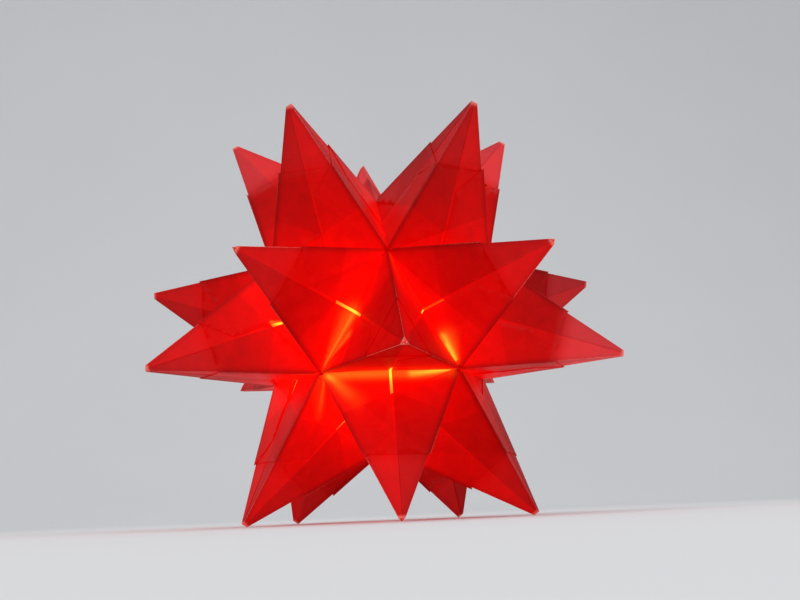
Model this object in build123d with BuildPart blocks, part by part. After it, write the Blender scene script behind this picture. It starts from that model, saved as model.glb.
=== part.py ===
from build123d import *
from math import acos, atan, atan2, cos, pi, radians, sin, sqrt, tan
import os

# Modular origami star: thirty square sheets, each folded into the same unit and slotted together
# without glue. Every unit lies along one edge of an icosahedron and forms one wall of each of the two
# three-sided spikes that meet at that edge. A small battery candle lights the star from inside.
# Lengths are millimetres. The star rests on five spike tips, with +Z up and one spike towards -Y.

# The folded square: each layer of paper lies one pitch outside the layer below it
sheet_side = 150.0
sheet_thickness = 0.08
layer_gap = 0.02

# Gap between the two flap edges of a unit, at the middle of its base edge
slit_width = 1.3

# Blunt end of a spike, and the hole where five spikes meet
tip_blunt = 1.5
vertex_hole_radius = 0.7

# Width of the narrow folds that join two layers along a folded edge
fold_width = 0.10

# Battery candle
candle_diameter = 38.0
candle_height = 17.0
candle_foot_chamfer = 0.8
candle_well_diameter = 32.4
candle_well_depth = 4.0
candle_seat_gap = 0.10
flame_diameter = 7.0
flame_height = 24.0
flame_shoulder_height = 11.0
flame_tip_diameter = 0.7
flame_socket_depth = 2.6
flame_socket_gap = 0.05

# Layer number of each panel, counted from the inside of a spike wall to the outside
base_layer = 0
first_flap_layer = 3
tab_layer = 4
corner_layer = 5
corner_flap_layer = 6
tab_flap_layer = 7
cuff_layer = 8
second_flap_layer = 9

layer_pitch = sheet_thickness + layer_gap


def top_of(layer):
    """Height of the outer surface of a layer above the inside of its wall."""
    return layer * layer_pitch + sheet_thickness


# Fold angle between the middle line of the sheet and its long folded edge: an eighth of a turn halved,
# and a little more because the flap edge stops short of the middle
face_height = sheet_side / 2
fold_angle = (radians(45) + atan(slit_width / 2 / face_height)) / 2
half_base = face_height * tan(fold_angle)
base_edge = 2 * half_base

# Star proportions for that base edge
vertex_radius = base_edge * sqrt(10 + 2 * sqrt(5)) / 4
mid_edge_radius = base_edge * (1 + sqrt(5)) / 4
centroid_offset = base_edge / (2 * sqrt(3))
face_tilt = (pi - acos(-sqrt(5) / 3)) / 2
spike_height = sqrt(face_height**2 - centroid_offset**2)

# Master unit frame: star centre at the origin, Z through the middle of the edge, X along the edge
spike_axis = Vector(0, sin(face_tilt), cos(face_tilt))
inward = Vector(0, cos(face_tilt), -sin(face_tilt))
edge_middle = Vector(0, 0, mid_edge_radius)
left_vertex = Vector(-half_base, 0, mid_edge_radius)
right_vertex = Vector(half_base, 0, mid_edge_radius)
far_vertex = edge_middle + inward * (3 * centroid_offset)
tip = edge_middle + inward * centroid_offset + spike_axis * spike_height


def wall(left, right, apex):
    """Inside of a spike wall seen from outside the star: X along its base edge, Y towards the tip."""
    middle = (left + right) * 0.5
    across = (right - left).normalized()
    up = (apex - middle).normalized()
    return Plane(origin=middle, x_dir=across, z_dir=across.cross(up))


def mirror_across(point, start, end):
    """Mirror image of a point in the plane through the star centre and two vertices."""
    normal = start.cross(end).normalized()
    return point - normal * (2 * point.dot(normal))


own_wall = wall(left_vertex, right_vertex, tip)
next_wall = wall(right_vertex, far_vertex, tip)
third_wall = wall(far_vertex, left_vertex, tip)
across_own_edge = wall(right_vertex, left_vertex, mirror_across(tip, left_vertex, right_vertex))
across_next_edge = wall(far_vertex, right_vertex, mirror_across(tip, right_vertex, far_vertex))

# Folded flat, a unit lies in one plane: origin at the middle of the base edge, Y towards the tip
flat_tip = (0.0, face_height)
flat_right = (half_base, 0.0)
tab_point = (base_edge, face_height)
flap_reach = sheet_side / sqrt(2)
flap_lean = radians(135) - 2 * fold_angle
flap_corner = (flap_reach * cos(flap_lean), flap_reach * sin(flap_lean) - face_height)
raw_edge_lean = radians(90) - 2 * fold_angle
raw_edge_end = (
    flap_corner[0] + face_height * cos(raw_edge_lean),
    flap_corner[1] + face_height * sin(raw_edge_lean),
)


def turned(point, folds):
    """Place on a spike wall of a point of the flat unit, after folding over that many legs."""
    angle = -2 * fold_angle * folds
    across = point[0]
    down = point[1] - face_height
    return (
        across * cos(angle) - down * sin(angle),
        across * sin(angle) + down * cos(angle) + face_height,
    )


def left_of(plane, start, end, shift=0.0):
    """Cut square to a wall that keeps the left of a line, moved to the left by a shift."""
    first = plane.from_local_coords(Vector(*start, 0))
    last = plane.from_local_coords(Vector(*end, 0))
    right_hand = (last - first).normalized().cross(plane.z_dir)
    return Plane(origin=first - right_hand * shift, z_dir=right_hand)


def below(plane, level):
    """Cut that keeps what lies no further out than a level of a wall."""
    return Plane(origin=plane.origin + plane.z_dir * level, z_dir=plane.z_dir)


def above(plane, level):
    """Cut that keeps what lies at least as far out as a level of a wall."""
    return Plane(origin=plane.origin + plane.z_dir * level, z_dir=-plane.z_dir)


# Panels stop short of both ends of the base edge, by the hole and the thickness of the paper stack
corner_slope = atan2(face_height, half_base) / 2
corner_reach = (vertex_hole_radius + top_of(second_flap_layer)) / cos(corner_slope)
corner_rise = (vertex_hole_radius + top_of(second_flap_layer)) / sin(corner_slope)


def common_cuts(plane):
    """Cuts that every panel of a wall shares: the blunt tip and the two ends of the base edge."""
    return [
        Plane(origin=tip - spike_axis * tip_blunt, z_dir=spike_axis),
        left_of(plane, (-half_base, corner_rise), (-half_base + corner_reach, 0)),
        left_of(plane, (half_base - corner_reach, 0), (half_base, corner_rise)),
    ]


def panel(plane, first_layer, last_layer, cuts):
    """Flat paper from one layer of a wall to another, trimmed at its creases and edges."""
    with BuildPart() as paper:
        with BuildSketch(plane.offset(first_layer * layer_pitch)):
            with Locations((0, face_height / 2)):
                Rectangle(2 * base_edge, 2 * face_height)
        extrude(amount=top_of(last_layer) - first_layer * layer_pitch)
        for cut in common_cuts(plane) + cuts:
            split(bisect_by=cut, keep=Keep.BOTTOM)
    return paper.part


def own_panels():
    """Panels on the unit's own wall: the base, the first flap on its left and the second on its right."""
    creases = [
        above(across_own_edge, 0),
        below(third_wall, -layer_gap),
        below(next_wall, top_of(tab_layer)),
    ]
    pocket = [
        above(across_own_edge, 0),
        below(next_wall, top_of(tab_flap_layer)),
        left_of(own_wall, flap_corner, (0, -face_height)),
        left_of(own_wall, raw_edge_end, flap_corner),
    ]
    first_flap_edge = left_of(own_wall, (-slit_width / 2, 0), flat_tip)
    cuff_edge = left_of(own_wall, flat_right, flap_corner)
    return [
        panel(own_wall, base_layer, base_layer, creases),
        panel(own_wall, base_layer, first_flap_layer, creases + [first_flap_edge]),
        panel(own_wall, second_flap_layer, second_flap_layer, pocket),
        panel(own_wall, cuff_layer, second_flap_layer, pocket + [cuff_edge]),
    ]


def lower_edge(plane, folds, shift=0.0):
    """Cut along the long folded edge beyond the unit's right end."""
    return left_of(plane, turned(flat_right, folds), turned(tab_point, folds), shift)


def lower_strip(plane, folds):
    """Cut that leaves only the narrow fold along that edge."""
    return left_of(plane, turned(tab_point, folds), turned(flat_right, folds), -fold_width)


def raw_edge(plane, folds):
    """Cut along the raw edge of the second flap."""
    return left_of(plane, turned(raw_edge_end, folds), turned(flap_corner, folds))


def tab_panels():
    """The tab on the next wall: its base, the flap folded over it and the fold between them."""
    edge = [lower_edge(next_wall, 1), above(across_next_edge, top_of(second_flap_layer) + layer_gap)]
    base = edge + [below(own_wall, top_of(base_layer)), below(third_wall, top_of(corner_layer))]
    flap = edge + [
        below(own_wall, top_of(second_flap_layer)),
        below(third_wall, top_of(corner_flap_layer)),
        raw_edge(next_wall, 1),
    ]
    return [
        panel(next_wall, tab_layer, tab_layer, base),
        panel(next_wall, tab_flap_layer, tab_flap_layer, flap),
        panel(next_wall, tab_layer, tab_flap_layer, base + [lower_strip(next_wall, 1)]),
    ]


def corner_panels():
    """The corner on the third wall, which slips inside the tab of the neighbouring unit."""
    edge = [
        lower_edge(third_wall, 2),
        lower_edge(third_wall, 1, fold_width + layer_gap),
        left_of(third_wall, turned(tab_point, 2), flat_tip),
    ]
    base = edge + [below(next_wall, top_of(tab_layer))]
    flap = edge + [below(next_wall, top_of(tab_flap_layer)), raw_edge(third_wall, 2)]
    return [
        panel(third_wall, corner_layer, corner_layer, base),
        panel(third_wall, corner_flap_layer, corner_flap_layer, flap),
        panel(third_wall, corner_layer, corner_flap_layer, base + [lower_strip(third_wall, 2)]),
    ]


# One folded sheet: its second end is its first turned half round
half_unit = own_panels() + tab_panels() + corner_panels()
with BuildPart() as master_unit:
    for paper in half_unit:
        add(paper)
    for paper in half_unit:
        add(paper.rotate(Axis.Z, 180))


def star_vertices():
    """Vertex 0 at the top, 1 to 5 above the middle, 6 to 10 below it, 11 at the bottom."""
    ring_height = vertex_radius / sqrt(5)
    ring_radius = 2 * ring_height
    vertices = [Vector(0, 0, vertex_radius)]
    for height, offset in ((ring_height, 0), (-ring_height, pi / 5)):
        for k in range(5):
            angle = 2 * pi * k / 5 + offset
            vertices.append(Vector(ring_radius * sin(angle), -ring_radius * cos(angle), height))
    vertices.append(Vector(0, 0, -vertex_radius))
    return vertices


def star_edges():
    """Each edge of the star as its piece name and the numbers of its two vertices."""
    edges = []
    for k in range(5):
        after = (k + 1) % 5
        edges.append((f"unit_top_{k + 1}", 0, k + 1))
        edges.append((f"unit_upper_{k + 1}", k + 1, after + 1))
        edges.append((f"unit_right_{k + 1}", k + 1, k + 6))
        edges.append((f"unit_left_{k + 1}", k + 6, after + 1))
        edges.append((f"unit_lower_{k + 1}", k + 6, after + 6))
        edges.append((f"unit_bottom_{k + 1}", k + 6, 11))
    return edges


def edge_frame(start, end):
    """Frame of an edge at the star centre: Z out through its middle, X from start to end."""
    return Plane(origin=(0, 0, 0), x_dir=(end - start).normalized(), z_dir=(start + end).normalized())


vertices = star_vertices()

# The star stands on its lowest spike tips, so everything is lifted by their depth below its centre
placed_units = {
    name: master_unit.part.moved(edge_frame(vertices[start], vertices[end]).location)
    for name, start, end in star_edges()
}
lift = -min(unit.bounding_box().min.Z for unit in placed_units.values())

# The chamfered foot of the candle rests on the five ridges that rise from the bottom vertex
ridge_slope = atan2(vertices[6].Z - vertices[11].Z, 2 * vertex_radius / sqrt(5))
foot_reach = (candle_diameter / 2 - candle_foot_chamfer) * sin(ridge_slope)
candle_foot = lift - vertex_radius + (foot_reach + candle_seat_gap) / cos(ridge_slope)
candle_top = candle_foot + candle_height
well_floor = candle_top - candle_well_depth
socket_floor = well_floor - flame_socket_depth

# Candle housing: a round cup with a shallow well, and a socket in its floor that holds the flame
with BuildPart() as housing:
    with BuildSketch(Plane.XY.offset(candle_foot)):
        Circle(candle_diameter / 2)
    extrude(amount=candle_height)
    chamfer(housing.edges().group_by(Axis.Z)[0], length=candle_foot_chamfer)
    with BuildSketch(Plane.XY.offset(well_floor)):
        Circle(candle_well_diameter / 2)
    extrude(amount=candle_well_depth, mode=Mode.SUBTRACT)
    with BuildSketch(Plane.XY.offset(socket_floor)):
        Circle(flame_diameter / 2 + flame_socket_gap)
    extrude(amount=flame_socket_depth, mode=Mode.SUBTRACT)
housing.part.label = "candle_housing"

# Candle flame: frosted plastic turned from one profile, straight up to its shoulder and then tapered
flame_foot = socket_floor + flame_socket_gap
flame_shoulder = well_floor + flame_shoulder_height
flame_top = well_floor + flame_height
with BuildPart() as flame:
    with BuildSketch(Plane.XZ):
        with BuildLine():
            Polyline(
                (0, flame_foot),
                (flame_diameter / 2, flame_foot),
                (flame_diameter / 2, flame_shoulder),
                (flame_tip_diameter / 2, flame_top),
                (0, flame_top),
                close=True,
            )
        make_face()
    revolve(axis=Axis.Z)
flame.part.label = "candle_flame"

os.makedirs("parts", exist_ok=True)
export_step(housing.part, "parts/candle_housing.step")
export_step(flame.part, "parts/candle_flame.step")

for name, placed in placed_units.items():
    with BuildPart() as unit:
        add(placed.moved(Location((0, 0, lift))))
    unit.part.label = name
    export_step(unit.part, f"parts/{name}.step")
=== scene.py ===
from math import atan, cos, exp, floor, pi, radians, sin, sqrt, tan

import bmesh
import bpy
import numpy as np
from mathutils import Matrix, Vector, noise


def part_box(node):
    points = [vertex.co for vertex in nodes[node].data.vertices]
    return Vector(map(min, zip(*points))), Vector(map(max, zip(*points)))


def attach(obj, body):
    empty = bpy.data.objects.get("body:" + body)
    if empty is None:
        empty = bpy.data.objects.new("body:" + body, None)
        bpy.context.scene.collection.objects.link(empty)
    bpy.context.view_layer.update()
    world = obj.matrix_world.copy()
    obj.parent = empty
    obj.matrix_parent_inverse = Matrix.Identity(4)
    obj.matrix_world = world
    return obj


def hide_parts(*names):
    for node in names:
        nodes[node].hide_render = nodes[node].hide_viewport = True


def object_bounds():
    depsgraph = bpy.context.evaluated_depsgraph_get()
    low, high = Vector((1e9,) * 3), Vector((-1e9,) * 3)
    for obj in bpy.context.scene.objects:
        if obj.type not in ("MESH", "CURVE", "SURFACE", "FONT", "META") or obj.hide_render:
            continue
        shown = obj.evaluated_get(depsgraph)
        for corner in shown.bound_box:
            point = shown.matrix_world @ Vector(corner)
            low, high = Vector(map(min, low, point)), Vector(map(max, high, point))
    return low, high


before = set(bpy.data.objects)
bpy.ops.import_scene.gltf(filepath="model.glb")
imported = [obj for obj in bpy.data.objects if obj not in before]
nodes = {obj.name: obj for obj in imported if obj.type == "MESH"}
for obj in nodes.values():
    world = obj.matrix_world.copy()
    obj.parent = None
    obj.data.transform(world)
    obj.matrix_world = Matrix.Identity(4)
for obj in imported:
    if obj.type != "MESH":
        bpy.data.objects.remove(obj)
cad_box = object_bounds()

# Lengths are metres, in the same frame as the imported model
mm = 0.001
sheet_side = 150 * mm
slit_width = 1.3 * mm
sheet_thickness = 0.08 * mm
layer_pitch = 0.10 * mm
star_height = cad_box[1][2] - cad_box[0][2]
star_centre = Vector((0, 0, cad_box[0][2] + star_height / 2))

# Layer numbers of the panels that lie outermost on a wall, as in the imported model
tab_flap_layer = 7
cuff_layer = 8

# Heights over a wall's plane between which all its layers lie
layers_from = -0.5 * mm
layers_to = 1.4 * mm

# A face lies flat on a wall where the cosine between their normals is above this
flat_cosine = 0.9999

# Distances below which two corners count as one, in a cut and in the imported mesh
cut_tolerance = 1e-7
weld_distance = 1e-6

# Bends above this angle are shown sharp
sharp_bend = radians(25)

# Size of the cells that the paper is divided into, so that it can be waved
cell = 4.0 * mm

# Waves of a wall: wide swells and fine ripples, and how far from a crease they reach their height
swell_height = 0.45 * mm
swell_width = 30 * mm
ripple_height = 0.15 * mm
ripple_width = 16 * mm
ripple_offset = Vector((3.1, 5.7, 1.9))
crease_hold = 5 * mm

# How far the loose edges of the outer layers stand off the wall, and how soon that dies away
flap_edge_lift = 0.16 * mm
flap_edge_width = 4.5 * mm
raw_edge_lift = 0.16 * mm
raw_edge_width = 4.0 * mm
tab_rise_width = 4 * mm

# How far the wraps stand off the legs, and how soon that dies away from the leg and down it
wrap_lift = 0.45 * mm
wrap_width = 5.0 * mm
wrap_length = 13 * mm

# How far from the base edge and from a leg a loose layer reaches its height
foot_hold = 6 * mm
leg_hold = 3 * mm

# Place of the small lamp inside the star
lamp_place = star_centre + Vector((-7.5, -9.0, -7.0)) * mm

# Streaks of direct light on the paper: start and end from the star centre in millimetres, width at
# the start and at the end in millimetres, strength at the start and at the end
streaks = [
    ((-28.7, -46.3, -23.7), (-16.8, -50.2, -3.4), 2.0, 6.0, 0.26, 0.25),
    ((-27.0, -49.4, -22.6), (-18.5, -57.5, -12.5), 0.8, 2.8, 0.28, 0.20),
    ((-28.5, -44.4, -28.8), (27.5, -44.4, -28.8), 3.0, 3.2, 0.23, 0.22),
    ((28.5, -43.4, -27.4), (10.0, -44.3, -28.9), 0.9, 2.0, 0.80, 0.36),
    ((-28.2, -44.7, -29.5), (-16.5, -49.6, -41.0), 1.2, 5.0, 0.27, 0.07),
    ((-30.6, -41.0, -29.5), (-33.2, -31.5, -46.0), 1.0, 2.4, 0.26, 0.05),
    ((30.8, -44.5, -23.7), (25.4, -47.0, -12.5), 1.1, 2.2, 0.80, 0.40),
    ((30.5, -45.5, -22.0), (27.0, -48.2, -12.5), 2.0, 5.0, 0.28, 0.15),
    ((-53.2, -30.3, -2.1), (-49.1, -30.5, -2.3), 1.0, 1.0, 0.55, 0.55),
    ((16.4, -48.8, -0.1), (24.5, -55.9, 3.3), 0.6, 0.6, 0.14, 0.18),
    ((-31.4, -43.3, -26.8), (-30.4, -44.3, -26.8), 0.9, 0.7, 0.60, 0.30),
    ((31.4, -43.3, -26.8), (30.4, -44.3, -26.8), 0.9, 0.7, 0.60, 0.30),
]

# Walls that are brighter or darker than the lamp alone makes them. A wall is named by the two
# vertices of its base edge, the lower number first, and then the third vertex of its spike
wall_glow = {
    (0, 1, 2): 0.75,
    (0, 1, 5): 0.85,
    (1, 6, 2): 1.20,
    (1, 10, 5): 1.12,
    (1, 5, 0): 1.12,
    (5, 10, 9): 1.08,
    (6, 10, 11): 1.10,
    (10, 11, 9): 1.08,
    (6, 11, 7): 1.12,
    (6, 7, 11): 0.62,
    (7, 11, 8): 0.68,
    (2, 7, 3): 0.75,
    (9, 11, 8): 0.85,
    (9, 10, 5): 0.85,
}

# How pink the tips look in the room's light. A spike is named by its three vertices in order
tip_sheen = {
    (0, 4, 5): 0.8,
    (0, 2, 3): 1.0,
    (2, 6, 7): 1.0,
    (0, 3, 4): 0.8,
    (2, 3, 7): 0.5,
    (1, 6, 10): 0.0,
}
other_tip_sheen = 0.15

# Folded unit laid flat on its wall: origin at the middle of the base edge, Y towards the tip
face_height = sheet_side / 2
fold_angle = (radians(45) + atan(slit_width / 2 / face_height)) / 2
half_base = face_height * tan(fold_angle)
base_edge = 2 * half_base
mid_edge_radius = base_edge * (1 + sqrt(5)) / 4
vertex_radius = base_edge * sqrt(10 + 2 * sqrt(5)) / 4
centroid_offset = base_edge / (2 * sqrt(3))
spike_height = sqrt(face_height**2 - centroid_offset**2)

flat_tip = (0.0, face_height)
flat_right = (half_base, 0.0)
tab_point = (base_edge, face_height)
flap_reach = sheet_side / sqrt(2)
flap_lean = radians(135) - 2 * fold_angle
flap_corner = (flap_reach * cos(flap_lean), flap_reach * sin(flap_lean) - face_height)
raw_edge_lean = radians(90) - 2 * fold_angle
raw_edge_end = (
    flap_corner[0] + face_height * cos(raw_edge_lean),
    flap_corner[1] + face_height * sin(raw_edge_lean),
)


def turned(point, folds):
    """Place on a spike wall of a point of the flat unit, after folding over that many legs."""
    angle = -2 * fold_angle * folds
    across, down = point[0], point[1] - face_height
    return (
        across * cos(angle) - down * sin(angle),
        across * sin(angle) + down * cos(angle) + face_height,
    )


def side_of(line, point):
    """Distance of a point to the left of a line on a wall."""
    (x0, y0), (x1, y1) = line
    length = sqrt((x1 - x0) ** 2 + (y1 - y0) ** 2)
    return ((x1 - x0) * (point[1] - y0) - (y1 - y0) * (point[0] - x0)) / length


# Lines on a wall where the number of layers changes
low_one = (turned(flat_right, 1), turned(tab_point, 1))
raw_one = (turned(raw_edge_end, 1), turned(flap_corner, 1))
low_two = (turned(flat_right, 2), turned(tab_point, 2))
raw_two = (turned(raw_edge_end, 2), turned(flap_corner, 2))
slit_side = ((-slit_width / 2, 0.0), flat_tip)
flap_edge = (flap_corner, (0.0, -face_height))
raw_edge = (raw_edge_end, flap_corner)
cuff_edge = (flat_right, flap_corner)
layer_lines = [low_one, raw_one, low_two, raw_two, slit_side, flap_edge, raw_edge, cuff_edge]

# Edges of a wall
right_leg = ((half_base, 0.0), flat_tip)
left_leg = (flat_tip, (-half_base, 0.0))


def layer_count(point):
    """Number of layers of paper at a point of a wall."""
    in_tab = side_of(low_one, point) > 0
    in_corner = side_of(slit_side, point) > 0 and side_of(low_two, point) > 0
    in_flap = side_of(flap_edge, point) > 0 and side_of(raw_edge, point) > 0
    count = 1
    if in_tab:
        count += 1 + (side_of(raw_one, point) > 0)
    if side_of(slit_side, point) > 0:
        count += 3
    if in_corner:
        count += 1 + (side_of(raw_two, point) > 0)
    if in_flap:
        count += 1 + (side_of(cuff_edge, point) > 0)
    return count


def star_vertices():
    """Vertex 0 at the top, 1 to 5 above the middle, 6 to 10 below it, 11 at the bottom."""
    ring_height = vertex_radius / sqrt(5)
    ring_radius = 2 * ring_height
    places = [Vector((0, 0, vertex_radius))]
    for height, offset in ((ring_height, 0), (-ring_height, pi / 5)):
        for k in range(5):
            angle = 2 * pi * k / 5 + offset
            places.append(Vector((ring_radius * sin(angle), -ring_radius * cos(angle), height)))
    places.append(Vector((0, 0, -vertex_radius)))
    return places


def star_edges():
    """Each edge of the star as its node name and the numbers of its two vertices."""
    edges = []
    for k in range(5):
        after = (k + 1) % 5
        edges.append((f"unit_top_{k + 1}", 0, k + 1))
        edges.append((f"unit_upper_{k + 1}", k + 1, after + 1))
        edges.append((f"unit_right_{k + 1}", k + 1, k + 6))
        edges.append((f"unit_left_{k + 1}", k + 6, after + 1))
        edges.append((f"unit_lower_{k + 1}", k + 6, after + 6))
        edges.append((f"unit_bottom_{k + 1}", k + 6, 11))
    return edges


def axes_matrix(across, up, out, origin):
    """Matrix whose columns are three axes and an origin."""
    matrix = Matrix((across, up, out)).transposed().to_4x4()
    matrix.translation = origin
    return matrix


def edge_matrix(start, end):
    """Frame of an edge at the star centre: Z out through its middle, X from start to end."""
    across = (end - start).normalized()
    out = (start + end).normalized()
    return axes_matrix(across, out.cross(across), out, star_centre)


vertices = star_vertices()

# Master unit frame: star centre at the origin, Z through the middle of the edge, X along the edge
face_tilt = atan(centroid_offset / sqrt(mid_edge_radius**2 - centroid_offset**2))
spike_axis = Vector((0, sin(face_tilt), cos(face_tilt)))
inward = Vector((0, cos(face_tilt), -sin(face_tilt)))
edge_middle = Vector((0, 0, mid_edge_radius))
left_vertex = Vector((-half_base, 0, mid_edge_radius))
right_vertex = Vector((half_base, 0, mid_edge_radius))
far_vertex = edge_middle + inward * (3 * centroid_offset)
spike_tip = edge_middle + inward * centroid_offset + spike_axis * spike_height


def wall_matrix(left, right, apex):
    """Inside of a spike wall seen from outside the star: X along its base edge, Y to the tip."""
    middle = (left + right) / 2
    across = (right - left).normalized()
    up = (apex - middle).normalized()
    return axes_matrix(across, up, across.cross(up), middle)


half_turn = Matrix.Rotation(pi, 4, "Z")
unit_walls = [
    wall_matrix(left_vertex, right_vertex, spike_tip),
    wall_matrix(right_vertex, far_vertex, spike_tip),
    wall_matrix(far_vertex, left_vertex, spike_tip),
]
unit_walls += [half_turn @ wall for wall in unit_walls]
spike_axes = [spike_axis] * 3 + [half_turn @ spike_axis] * 3

# How much further out a fold over a leg lies for each layer under it
fold_slope = tan(unit_walls[0].col[2].to_3d().angle(unit_walls[1].col[2].to_3d()) / 2)


def leg_side(point):
    """Distance to the nearer leg, and -1 for the left leg or 1 for the right one."""
    left = side_of(left_leg, point)
    right = side_of(right_leg, point)
    return (left, -1) if left < right else (right, 1)


def inside_by(point):
    """How far a point of a wall lies inside its three edges."""
    return min(leg_side(point)[0], point[1])


def wall_of(place):
    """Number of the unit's wall that a place belongs to, and its coordinates there."""
    best = None
    for number, wall in enumerate(unit_walls):
        local = wall.inverted() @ place
        if not layers_from < local.z < layers_to:
            continue
        margin = inside_by(local)
        if best is None or margin > best[0]:
            best = (margin, number, local)
    return best[1], best[2]


def cell_lines():
    """Lines that divide a wall into square cells, each with a diagonal."""
    columns = int(half_base / cell) + 1
    rows = int(face_height / cell) + 1
    lines = [((k * cell, 0.0), (k * cell, face_height)) for k in range(-columns, columns + 1)]
    lines += [((-half_base, k * cell), (half_base, k * cell)) for k in range(1, rows)]
    for k in range(-columns, columns + rows):
        lines.append(((k * cell, 0.0), ((k - rows) * cell, rows * cell)))
    return lines


def cut_wall(paper, number):
    """Divide the flat faces of one wall along its layer lines and into cells."""
    wall = unit_walls[number]
    across, up, out = (wall.col[axis].to_3d() for axis in range(3))

    def on_wall(face):
        flat = abs(face.normal.dot(out)) > flat_cosine
        return flat and wall_of(face.calc_center_median())[0] == number

    faces = [face for face in paper.faces if on_wall(face)]
    for start, end in layer_lines + cell_lines():
        origin = wall @ Vector((start[0], start[1], 0))
        along = across * (end[0] - start[0]) + up * (end[1] - start[1])
        geometry = set(faces)
        for face in faces:
            geometry.update(face.verts)
            geometry.update(face.edges)
        result = bmesh.ops.bisect_plane(
            paper,
            geom=list(geometry),
            dist=cut_tolerance,
            plane_co=origin,
            plane_no=along.cross(out).normalized(),
        )
        faces = [item for item in result["geom"] if isinstance(item, bmesh.types.BMFace)]


def master_paper():
    """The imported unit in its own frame, divided into small cells."""
    name, start, end = star_edges()[0]
    paper = bmesh.new()
    paper.from_mesh(nodes[name].data)
    paper.transform(edge_matrix(vertices[start], vertices[end]).inverted())
    bmesh.ops.remove_doubles(paper, verts=paper.verts, dist=weld_distance)
    for number in range(len(unit_walls)):
        cut_wall(paper, number)
    return paper


def on_cells(height, point):
    """Value of a height function at a point of a wall, straight across each half cell."""
    column, row = floor(point[0] / cell), floor(point[1] / cell)
    share, rise = point[0] / cell - column, point[1] / cell - row
    near_left = height(column, row + 1)
    near_right = height(column + 1, row)
    if share + rise <= 1:
        corner = height(column, row)
        return corner + share * (near_right - corner) + rise * (near_left - corner)
    corner = height(column + 1, row + 1)
    return corner + (1 - share) * (near_left - corner) + (1 - rise) * (near_right - corner)


def growth(distance, width):
    """Share of its full height that paper has at a distance from a crease, which holds it down."""
    return 1 - exp(-((max(distance, 0) / width) ** 2))


def hold(point):
    """Share of its lift that a loose edge has, as the legs and the base edge hold it down."""
    return growth(leg_side(point)[0], leg_hold) * growth(point[1], foot_hold)


def flap_height(column, row):
    """How far the cuff and the second flap stand off the wall at a corner of a cell."""
    point = (column * cell, row * cell)
    from_edge = min(abs(side_of(flap_edge, point)), abs(side_of(raw_edge, point)))
    return flap_edge_lift * exp(-from_edge / flap_edge_width) * hold(point)


def tab_height(column, row):
    """How far the tab's flap stands off the left half of the wall at a corner of a cell."""
    point = (column * cell, row * cell)
    from_edge = abs(side_of(raw_one, point))
    from_middle = min(1.0, max(-point[0], 0) / tab_rise_width)
    return raw_edge_lift * exp(-from_edge / raw_edge_width) * from_middle * hold(point)


def wrap_height(column, row):
    """How far the outer layers stand off the nearer leg at a corner of a cell."""
    point = (column * cell, row * cell)
    from_leg = exp(-((leg_side(point)[0] / wrap_width) ** 2))
    below_raw = exp(-max(turned(flap_corner, 1)[1] - point[1], 0) / wrap_length)
    return wrap_lift * from_leg * below_raw * growth(point[1], foot_hold)


def loose_shift(number, local):
    """How far, and which way, a place of the outer layers stands off its tight fold."""
    wall = unit_walls[number]
    level = round((local.z - sheet_thickness / 2) / layer_pitch)
    if level < tab_flap_layer:
        return Vector()
    lift = 0.0
    if level >= cuff_layer and local.x > 0:
        lift = on_cells(flap_height, local)
    elif local.x < 0:
        lift = on_cells(tab_height, local)
    leg_foot = wall @ Vector((leg_side(local)[1] * half_base, 0, 0))
    axis = spike_axes[number]
    leg_out = (leg_foot - axis * leg_foot.dot(axis)).normalized()
    return wall.col[2].to_3d() * lift + leg_out * on_cells(wrap_height, local)


class Swell:
    """Waves of one placed wall, which die away at its edges."""

    def __init__(self, wall):
        self.wall = wall
        self.heights = {}

    def corner(self, column, row):
        """Height of the waves at a corner of a cell."""
        if (column, row) not in self.heights:
            point = (column * cell, row * cell)
            place = self.wall @ Vector((*point, 0))
            wide = noise.noise(place / swell_width)
            fine = noise.noise(place / ripple_width + ripple_offset)
            wave = swell_height * wide + ripple_height * fine
            self.heights[column, row] = growth(inside_by(point), crease_hold) * wave
        return self.heights[column, row]

    def shift(self, local):
        """How far the waves carry a place of the wall."""
        return self.wall.col[2].to_3d() * on_cells(self.corner, local)


def wall_vertices(place):
    """For each wall of a placed unit, the star's vertices at its base edge and the third one."""

    def nearest(point):
        at = place @ point - star_centre
        return min(range(len(vertices)), key=lambda k: (at - vertices[k]).length)

    triples = []
    for turn in (Matrix.Identity(4), half_turn):
        corners = (left_vertex, right_vertex, far_vertex)
        left, right, far = (nearest(turn @ corner) for corner in corners)
        triples += [(left, right, far), (right, far, left), (far, left, right)]
    return [(min(a, b), max(a, b), third) for a, b, third in triples]


def wall_light(place):
    """For each wall of a placed unit, the lamp's distance from its plane, its glow and sheen."""
    walls = [place @ wall for wall in unit_walls]
    triples = wall_vertices(place)
    from_lamp = [(lamp_place - wall.translation).dot(wall.col[2].to_3d()) for wall in walls]
    return {
        "depth": [abs(distance) / mm for distance in from_lamp],
        "share": [wall_glow.get(triple, 1.0) for triple in triples],
        "sheen": [tip_sheen.get(tuple(sorted(triple)), other_tip_sheen) for triple in triples],
    }


def face_measures(paper):
    """Wall and layer count of each face, then the rise and leg distance of each face's corners."""
    numbers, counts, rises, from_legs = [], [], [], []
    for face in paper.faces:
        number, local = wall_of(face.calc_center_median())
        numbers.append(number)
        counts.append(layer_count(local))
        to_wall = unit_walls[number].inverted()
        for vert in face.verts:
            corner = to_wall @ vert.co
            rises.append(corner.y / mm)
            from_legs.append((leg_side(corner)[0] + corner.z * fold_slope) / mm)
    return numbers, counts, rises, from_legs


def fill_attribute(mesh, name, domain, values):
    """Add one number per face or per corner to a mesh."""
    attribute = mesh.attributes.new(name, "FLOAT", domain)
    attribute.data.foreach_set("value", np.asarray(values, dtype=np.float32))


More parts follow.
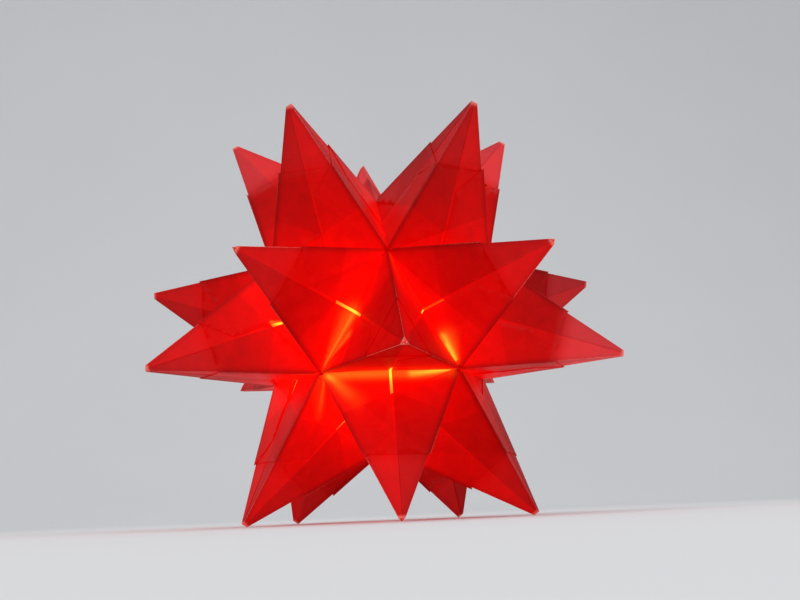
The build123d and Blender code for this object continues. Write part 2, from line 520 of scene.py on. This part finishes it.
def paper_units(material):
    """All thirty folded sheets, each placed on its own edge and waved a little differently."""
    master = master_paper()
    spots = [wall_of(vert.co) for vert in master.verts]
    shifts = [loose_shift(number, local) for number, local in spots]
    numbers, counts, rises, from_legs = face_measures(master)
    master_mesh = bpy.data.meshes.new("paper_master")
    master.to_mesh(master_mesh)
    master.free()
    for name, start, end in star_edges():
        mesh = master_mesh.copy()
        mesh.name = f"{name}_sheet"
        place = edge_matrix(vertices[start], vertices[end])
        swells = [Swell(place @ wall) for wall in unit_walls]
        for vert, shift, (number, local) in zip(mesh.vertices, shifts, spots):
            vert.co = place @ (vert.co + shift) + swells[number].shift(local)
        fill_attribute(mesh, "layers", "FACE", counts)
        fill_attribute(mesh, "rise", "CORNER", rises)
        fill_attribute(mesh, "leg", "CORNER", from_legs)
        for measure, values in wall_light(place).items():
            fill_attribute(mesh, measure, "FACE", [values[number] for number in numbers])
        mesh.shade_smooth()
        mesh.set_sharp_from_angle(angle=sharp_bend)
        mesh.materials.clear()
        mesh.materials.append(material)
        sheet = bpy.data.objects.new(f"{name}_sheet", mesh)
        bpy.context.collection.objects.link(sheet)
        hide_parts(name)
        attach(sheet, "root")


# Range that holds most values of a noise texture
noise_range = (0.3, 0.7)


class Nodes:
    """Short calls for the nodes of one material."""

    def __init__(self, name):
        self.material = bpy.data.materials.new(name)
        self.material.use_nodes = True
        self.tree = self.material.node_tree
        self.shader = self.tree.nodes["Principled BSDF"]

    def feed(self, socket, value):
        """Link an output to an input, or write a plain value into it."""
        if isinstance(value, bpy.types.NodeSocket):
            self.tree.links.new(value, socket)
        else:
            socket.default_value = value

    def math(self, operation, *values, clamp=False):
        """Result of an operation on one to three numbers."""
        node = self.tree.nodes.new("ShaderNodeMath")
        node.operation = operation
        node.use_clamp = clamp
        for socket, value in zip(node.inputs, values):
            self.feed(socket, value)
        return node.outputs[0]

    def product(self, first, *others):
        """All the numbers multiplied."""
        for value in others:
            first = self.math("MULTIPLY", first, value)
        return first

    def total(self, first, *others):
        """All the numbers added."""
        for value in others:
            first = self.math("ADD", first, value)
        return first

    def bell(self, value):
        """1 where the number is 0, falling smoothly to near 0 where it is 2."""
        return self.math("EXPONENT", self.product(self.math("POWER", value, 2.0), -1.0))

    def vector(self, operation, *values, output=0):
        """Result of an operation on vectors: output 0 is a vector and output 1 a number."""
        node = self.tree.nodes.new("ShaderNodeVectorMath")
        node.operation = operation
        for socket, value in zip(node.inputs, values):
            self.feed(socket, value)
        return node.outputs[output]

    def scaled(self, vector, amount):
        """A vector times a number."""
        node = self.tree.nodes.new("ShaderNodeVectorMath")
        node.operation = "SCALE"
        self.feed(node.inputs[0], vector)
        self.feed(node.inputs["Scale"], amount)
        return node.outputs[0]

    def attribute(self, name):
        """A number that the mesh holds for each face or corner."""
        node = self.tree.nodes.new("ShaderNodeAttribute")
        node.attribute_name = name
        return node.outputs["Fac"]

    def place(self):
        """Place on the object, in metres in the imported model's frame."""
        return self.tree.nodes.new("ShaderNodeTexCoord").outputs["Object"]

    def noise(self, size, detail=2.0, distortion=0.0):
        """Smooth noise whose features are about the given size in metres."""
        node = self.tree.nodes.new("ShaderNodeTexNoise")
        node.inputs["Scale"].default_value = 1 / size
        node.inputs["Detail"].default_value = detail
        node.inputs["Distortion"].default_value = distortion
        self.feed(node.inputs["Vector"], self.place())
        return node.outputs["Fac"]

    def span(self, value, low, high, to_low=0.0, to_high=1.0, smooth=False):
        """Carry a value from one range to another, clamped."""
        node = self.tree.nodes.new("ShaderNodeMapRange")
        node.interpolation_type = "SMOOTHSTEP" if smooth else "LINEAR"
        self.feed(node.inputs["Value"], value)
        names = ("From Min", "From Max", "To Min", "To Max")
        for socket, limit in zip(names, (low, high, to_low, to_high)):
            node.inputs[socket].default_value = limit
        return node.outputs["Result"]

    def streak(self, start, end, start_width, end_width, start_strength, end_strength):
        """Soft streak between two places, given in millimetres from the star centre."""
        first = star_centre + Vector(start) * mm
        run = (Vector(end) - Vector(start)) * mm
        across = self.vector("SUBTRACT", self.place(), tuple(first))
        along = self.vector("DOT_PRODUCT", across, tuple(run / run.length_squared), output=1)
        along = self.math("MULTIPLY", along, 1.0, clamp=True)
        aside = self.vector("SUBTRACT", across, self.scaled(tuple(run), along))
        distance = self.vector("LENGTH", aside, output=1)
        width = self.span(along, 0.0, 1.0, start_width * mm, end_width * mm)
        strength = self.span(along, 0.0, 1.0, start_strength, end_strength)
        return self.product(self.bell(self.math("DIVIDE", distance, width)), strength)

    def mix(self, amount, first, second):
        """Colour between two colours."""
        node = self.tree.nodes.new("ShaderNodeMix")
        node.data_type = "RGBA"
        self.feed(node.inputs["Factor"], amount)
        self.feed(node.inputs["A"], first)
        self.feed(node.inputs["B"], second)
        return node.outputs["Result"]

    def colour(self, red, green, blue):
        """Colour made of three numbers."""
        node = self.tree.nodes.new("ShaderNodeCombineColor")
        for socket, value in zip(node.inputs, (red, green, blue)):
            self.feed(socket, value)
        return node.outputs[0]

    def bump(self, height, distance, normal=None):
        """Normal of a surface raised by a height, on top of another normal where one is given."""
        node = self.tree.nodes.new("ShaderNodeBump")
        node.inputs["Distance"].default_value = distance
        self.feed(node.inputs["Height"], height)
        if normal is not None:
            self.feed(node.inputs["Normal"], normal)
        return node.outputs["Normal"]


# Light on a wall: it is 1 where the wall faces the lamp squarely at this many millimetres
full_light_distance = 50.0

# Glow of the paper: share that follows the lamp, share that is scattered inside, and their gain
lamp_share = 1.27
scattered_share = 0.37
glow_gain = 1.40

# How each layer past the first dims the colours: red slowly, green almost at once
red_loss = 0.10
red_loss_power = 0.806
green_loss = 3.0

# Red that the paper swallows, and the least that is left
swallowed_red = 0.12
least_red = 0.02

# Yellow of a single layer: light at which it begins and at which it is full, and its strength
yellow_light = (0.36, 0.75)
yellow_strength = 0.75

# Streaks: red and green in them, and the numbers of layers between which they fade to a share
streak_red = 1.2
streak_green = 1.5
streak_green_power = 1.6
streak_fade_layers = (3, 5)
streak_fade_share = 0.45

# Small shares of one colour that follow another
green_of_red = 0.001
blue_of_green = 0.06

# Clouds and fibres in the sheet: their sizes, how far they change the light either way, and relief
cloud_size = 7 * mm
cloud_light = 0.05
cloud_relief = 0.10 * mm
fibre_size = 0.9 * mm
fibre_light = 0.04
fibre_relief = 0.02 * mm

# Darker bands over the legs: width in millimetres, share of the light that they hold back, and the
# heights on the wall in millimetres between which they fade to a share of themselves
fold_band_width = 1.9
fold_band_share = 0.5
fold_band_fade_rise = (40, 47)
fold_band_fade_share = 0.5

# Dye, a painted pink sheen at the tips, pale folds near the tips that are partly worn and partly
# painted highlight, and worn tips: colours, widths and heights on the wall in millimetres
dark_dye = (0.13, 0.0010, 0.0012, 1)
bright_dye = (0.17, 0.0016, 0.0018, 1)
# Painted sheen: pinker paper near the tips, standing in for room light reflected off them
painted_sheen_pink = (0.55, 0.09, 0.10, 1)
painted_sheen_rise = (38, 50)
painted_sheen_strength = 0.5
# Pale folds: partly wear of the creases and partly a painted highlight where the folds catch
# light; the same pale colour serves the worn tips
worn_and_highlit_pale = (0.75, 0.30, 0.24, 1)
worn_and_highlit_fold_width = 0.20
worn_and_highlit_fold_rise = (25, 65)
worn_and_highlit_fold_strength = (0.05, 0.75)
worn_and_highlit_fibre_range = (0.35, 0.6)
worn_and_highlit_fibre_strength = (0.3, 1.0)
worn_tip_rise = (71.5, 73.5)
worn_tip_strength = 0.7


def paper_glow(n, rise, leg, clouds, fibres):
    """Lamp light through the paper, brighter and yellower under few layers near the lamp."""
    layers = n.attribute("layers")
    under = n.math("SUBTRACT", layers, 1.0)

    # The light falls with the distance and with the slant of the wall
    to_wall = n.vector("SUBTRACT", n.place(), tuple(lamp_place))
    distance = n.math("DIVIDE", n.vector("LENGTH", to_wall, output=1), mm)
    facing = n.product(n.attribute("depth"), full_light_distance**2)
    lit = n.math("DIVIDE", facing, n.math("POWER", distance, 3.0))
    glow = n.math("MULTIPLY_ADD", lit, lamp_share, scattered_share)
    glow = n.product(glow, glow_gain, n.attribute("share"))

    # Clouds and fibres let a little more or less light through
    cloudy = n.span(clouds, *noise_range, -cloud_light, cloud_light)
    fibrous = n.span(fibres, *noise_range, -fibre_light, fibre_light)
    even = n.total(cloudy, fibrous, 1.0)

    # The tight folds along the legs hold back more light than the flat walls
    fold_band = n.bell(n.math("DIVIDE", leg, fold_band_width))
    fold_fade = n.span(rise, *fold_band_fade_rise, 1.0, fold_band_fade_share, smooth=True)
    open_band = n.math("SUBTRACT", 1.0, n.product(fold_band, fold_fade, fold_band_share))

    # Streaks where the lamp's light comes almost straight through, weaker under many layers
    leaks = n.total(*(n.streak(*measures) for measures in streaks))
    leaks = n.product(leaks, n.span(layers, *streak_fade_layers, 1.0, streak_fade_share))

    through_red = n.product(n.math("POWER", under, red_loss_power), -red_loss)
    red = n.product(glow, n.math("EXPONENT", through_red), even)
    red = n.math("MAXIMUM", n.math("SUBTRACT", red, swallowed_red), least_red)
    red = n.total(n.product(red, open_band), n.product(leaks, streak_red))
    through_green = n.math("EXPONENT", n.product(under, -green_loss))
    green = n.product(through_green, n.span(lit, *yellow_light), yellow_strength)
    streak_glow = n.product(n.math("POWER", leaks, streak_green_power), streak_green)
    green = n.product(n.total(green, streak_glow), even)
    green = n.total(green, n.product(red, green_of_red))
    return n.colour(red, green, n.product(green, blue_of_green))


def paper_dye_wear_and_painted_light(n, rise, leg, clouds, fibres):
    """Dye of the paper with a painted pink sheen at the tips, paler along the folds near the tips
    from wear and a painted highlight, and worn paler at the tips themselves.
    """
    # Pale lines along the folds near the tips: partly crease wear, partly a painted highlight of
    # the rounded folds
    worn_and_highlit_fold = n.product(
        n.span(leg, 0.0, worn_and_highlit_fold_width, 1.0, 0.0),
        n.span(rise, *worn_and_highlit_fold_rise, *worn_and_highlit_fold_strength),
        n.span(fibres, *worn_and_highlit_fibre_range, *worn_and_highlit_fibre_strength),
    )
    worn_tip = n.span(rise, *worn_tip_rise, 0.0, worn_tip_strength, smooth=True)
    # Painted sheen: the tips turn pinker by each spike's sheen share, for reflected room light
    painted_tip_sheen = n.span(rise, *painted_sheen_rise, 0.0, painted_sheen_strength, smooth=True)
    surface_colour = n.mix(n.span(clouds, *noise_range), dark_dye, bright_dye)
    surface_colour = n.mix(n.product(painted_tip_sheen, n.attribute("sheen")), surface_colour, painted_sheen_pink)
    return n.mix(n.math("MAXIMUM", worn_and_highlit_fold, worn_tip), surface_colour, worn_and_highlit_pale)


def paper_material():
    """Thin red paper with clouds and fibres, lit from inside."""
    n = Nodes("red_paper_sheet")
    rise = n.attribute("rise")
    leg = n.attribute("leg")
    clouds = n.noise(cloud_size, detail=4.0, distortion=0.4)
    fibres = n.noise(fibre_size, detail=3.0)
    n.feed(n.shader.inputs["Emission Color"], paper_glow(n, rise, leg, clouds, fibres))
    n.shader.inputs["Emission Strength"].default_value = 1.0
    n.feed(n.shader.inputs["Base Color"], paper_dye_wear_and_painted_light(n, rise, leg, clouds, fibres))
    n.feed(n.shader.inputs["Roughness"], n.span(clouds, *noise_range, 0.46, 0.58))
    n.shader.inputs["IOR"].default_value = 1.30
    n.shader.inputs["Specular IOR Level"].default_value = 0.12
    n.feed(n.shader.inputs["Normal"], n.bump(clouds, cloud_relief, n.bump(fibres, fibre_relief)))
    n.material.cycles.emission_sampling = "NONE"
    return n.material


def housing_material():
    """White moulded plastic with faint flow marks and a fine grain."""
    cream = (0.80, 0.78, 0.71, 1)
    white = (0.88, 0.86, 0.81, 1)
    n = Nodes("white_moulded_plastic")
    flow = n.noise(9 * mm, detail=3.0, distortion=1.5)
    grain = n.noise(0.5 * mm, detail=2.0)
    n.feed(n.shader.inputs["Base Color"], n.mix(flow, cream, white))
    n.feed(n.shader.inputs["Roughness"], n.span(flow, *noise_range, 0.24, 0.36))
    n.feed(n.shader.inputs["Normal"], n.bump(grain, 0.008 * mm))
    return n.material


def flame_material():
    """Frosted warm plastic, which glows deep orange at its foot and paler towards its tip."""
    amber = (0.92, 0.72, 0.42, 1)
    honey = (0.98, 0.86, 0.60, 1)
    deep_glow = (1.0, 0.45, 0.12, 1)
    pale_glow = (1.0, 0.72, 0.35, 1)
    n = Nodes("frosted_flame_plastic")
    low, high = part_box("candle_flame")
    height = n.tree.nodes.new("ShaderNodeSeparateXYZ")
    n.feed(height.inputs[0], n.place())
    share = n.span(height.outputs["Z"], low.z, high.z)
    frost = n.noise(0.6 * mm, detail=2.0)
    n.feed(n.shader.inputs["Base Color"], n.mix(share, amber, honey))
    n.feed(n.shader.inputs["Emission Color"], n.mix(share, deep_glow, pale_glow))
    n.shader.inputs["Emission Strength"].default_value = 3.0
    n.feed(n.shader.inputs["Roughness"], n.span(frost, *noise_range, 0.45, 0.60))
    n.feed(n.shader.inputs["Normal"], n.bump(frost, 0.02 * mm))
    return n.material


def give_material(node, material):
    """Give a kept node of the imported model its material."""
    for place in nodes[node].material_slots:
        place.material = material


# Place of the camera from the star centre, its turn in degrees, and the photograph's measures
camera_offset = Vector((-61.5, -734.4, -90.6)) * mm
camera_turn = (97.876, 2.345, -5.247)
photo_width = 800
focal_pixels = 1520.1


def add_camera():
    """Camera low in front of the star, at the photograph's viewing angle."""
    data = bpy.data.cameras.new("camera")
    data.sensor_width = 36.0
    data.lens = data.sensor_width * focal_pixels / photo_width
    data.clip_start = 0.005
    data.clip_end = 20.0
    camera = bpy.data.objects.new("camera", data)
    camera.location = star_centre + camera_offset
    camera.rotation_euler = tuple(radians(angle) for angle in camera_turn)
    bpy.context.collection.objects.link(camera)
    bpy.context.scene.camera = camera


# Floor and backdrop in metres: front edge, start and radius of the bend, top and half width
stage_front = -7.0
stage_bend = 0.9
stage_radius = 0.9
stage_top = 3.0
stage_half_width = 6.0
stage_steps = 24


def stage_material():
    """Plain pale matt surface of the floor and backdrop."""
    pale = (0.72, 0.72, 0.73, 1)
    paler = (0.76, 0.76, 0.77, 1)
    n = Nodes("pale_stage")
    n.feed(n.shader.inputs["Base Color"], n.mix(n.noise(0.25, detail=2.0), pale, paler))
    n.shader.inputs["Roughness"].default_value = 0.9
    n.shader.inputs["Specular IOR Level"].default_value = 0.2
    return n.material


def add_stage():
    """Floor that sweeps up into a backdrop behind the star."""
    profile = [(stage_front, 0.0), (stage_bend, 0.0)]
    for k in range(1, stage_steps + 1):
        angle = pi / 2 * k / stage_steps
        profile.append((stage_bend + stage_radius * sin(angle), stage_radius * (1 - cos(angle))))
    profile.append((stage_bend + stage_radius, stage_top))
    sides = (-stage_half_width, stage_half_width)
    sweep = bmesh.new()
    rows = [[sweep.verts.new((x, y, z)) for x in sides] for y, z in profile]
    for low, high in zip(rows, rows[1:]):
        sweep.faces.new((low[0], low[1], high[1], high[0]))
    mesh = bpy.data.meshes.new("stage")
    sweep.to_mesh(mesh)
    sweep.free()
    mesh.shade_smooth()
    mesh.materials.append(stage_material())
    stage = bpy.data.objects.new("stage", mesh)
    bpy.context.collection.objects.link(stage)


# Soft square lamps: place and side in metres, and power in watts
lamps = {
    "key_lamp": ((-0.9, -1.1, 1.3), 1.2, 11),
    "fill_lamp": ((1.2, -0.9, 0.8), 1.4, 6),
    "top_lamp": ((0.1, 0.6, 1.6), 1.2, 6),
}
world_colour = (0.95, 0.97, 1.0, 1)
world_strength = 0.5


def add_light():
    """Plain soft studio light: lamps aimed at the star, and a pale world."""
    for name, (place, side, power) in lamps.items():
        data = bpy.data.lights.new(name, "AREA")
        data.size = side
        data.energy = power
        lamp = bpy.data.objects.new(name, data)
        lamp.location = place
        aim = star_centre - Vector(place)
        lamp.rotation_euler = aim.to_track_quat("-Z", "Y").to_euler()
        bpy.context.collection.objects.link(lamp)
    world = bpy.data.worlds.new("world")
    world.use_nodes = True
    background = world.node_tree.nodes["Background"]
    background.inputs["Color"].default_value = world_colour
    background.inputs["Strength"].default_value = world_strength
    bpy.context.scene.world = world


paper_units(paper_material())
give_material("candle_housing", housing_material())
give_material("candle_flame", flame_material())
add_stage()
add_light()
add_camera()
bpy.context.scene.view_settings.view_transform = "Standard"
